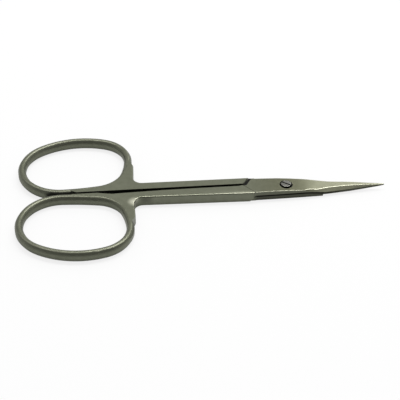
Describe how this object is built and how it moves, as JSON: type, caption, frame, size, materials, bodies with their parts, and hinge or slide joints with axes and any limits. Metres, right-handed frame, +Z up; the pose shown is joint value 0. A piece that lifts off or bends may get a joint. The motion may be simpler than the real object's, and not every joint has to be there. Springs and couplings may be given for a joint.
{
  "type": "cuticle scissors",
  "caption": "Fine cuticle scissors in satin stainless steel: crossed halves in a lap joint with a slotted pivot screw, oval finger rings, long shanks and short pointed blades.",
  "frame": {"origin": "on the pivot axis, in the plane of the surface that the closed scissors lie on, at the lower end of the pivot screw", "axes": "+X from the pivot to the blade tips, +Z up along the pivot axis to the screw's slotted head, +Y to the side of the lower half's finger ring"},
  "size_m": [0.0964, 0.0498, 0.003],
  "materials": {
    "satin_steel": "satin",
    "screw_steel": "polished"
  },
  "bodies": {
    "lower_scissor": {"lower_half": "satin_steel", "pivot_screw": "screw_steel"},
    "upper_scissor": {"upper_half": "satin_steel"}
  },
  "joints": [
    {"name": "pivot", "type": "hinge", "parent": "lower_scissor", "child": "upper_scissor", "pos_m": [0, 0, 0.00145], "axis": [0, 0, 1], "range_deg": [0, 90]}
  ]
}
